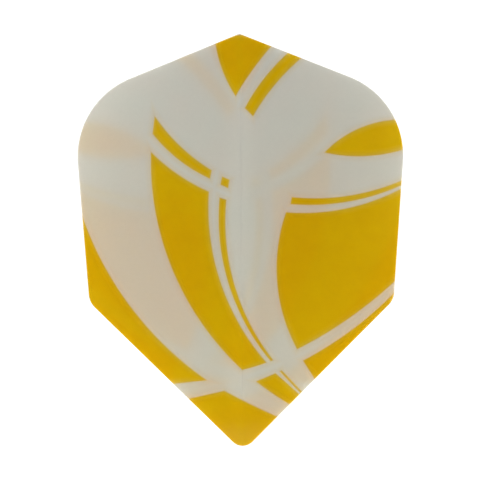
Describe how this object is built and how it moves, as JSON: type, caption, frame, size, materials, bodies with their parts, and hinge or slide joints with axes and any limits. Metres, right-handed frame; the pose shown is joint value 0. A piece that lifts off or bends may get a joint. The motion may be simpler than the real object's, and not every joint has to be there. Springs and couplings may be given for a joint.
{
  "type": "dart flight",
  "caption": "Folding tail flight for a dart: creased printed film leaves bonded face to face into wings that fold about one axis, in a shield outline with rounded shoulders.",
  "frame": {"origin": "on the fold axis at the rounded tip of the stem end", "axes": "+Z along the fold axis from the stem end to the trailing apex, +X across the folded flight, and the front leaf faces -Y"},
  "size_m": [0.0354, 0.0022, 0.045],
  "materials": {
    "printed_film": "glossy polyester film, translucent white with an abstract golden yellow print under a clear face",
    "clear_adhesive": "clear bond between two films, seen only as a thin line at an edge"
  },
  "bodies": {
    "spine": {"front_leaf_crease": "printed_film", "back_leaf_crease": "printed_film", "left_leaf_crease": "printed_film", "right_leaf_crease": "printed_film", "bond_core": "clear_adhesive"},
    "front_left_wing": {"front_leaf_left_half": "printed_film", "front_left_bond_layer": "clear_adhesive", "left_leaf_front_half": "printed_film"},
    "front_right_wing": {"front_leaf_right_half": "printed_film", "front_right_bond_layer": "clear_adhesive", "right_leaf_front_half": "printed_film"},
    "back_left_wing": {"back_leaf_left_half": "printed_film", "back_left_bond_layer": "clear_adhesive", "left_leaf_back_half": "printed_film"},
    "back_right_wing": {"back_leaf_right_half": "printed_film", "back_right_bond_layer": "clear_adhesive", "right_leaf_back_half": "printed_film"}
  },
  "joints": [
    {"name": "front_left_fold", "type": "hinge", "parent": "spine", "child": "front_left_wing", "pos_m": [0, 0, 0], "axis": [0, 0, 1], "range_deg": [-3, 42]},
    {"name": "front_right_fold", "type": "hinge", "parent": "spine", "child": "front_right_wing", "pos_m": [0, 0, 0], "axis": [0, 0, -1], "range_deg": [-3, 42]},
    {"name": "back_left_fold", "type": "hinge", "parent": "spine", "child": "back_left_wing", "pos_m": [0, 0, 0], "axis": [0, 0, -1], "range_deg": [-3, 42]},
    {"name": "back_right_fold", "type": "hinge", "parent": "spine", "child": "back_right_wing", "pos_m": [0, 0, 0], "axis": [0, 0, 1], "range_deg": [-3, 42]}
  ]
}
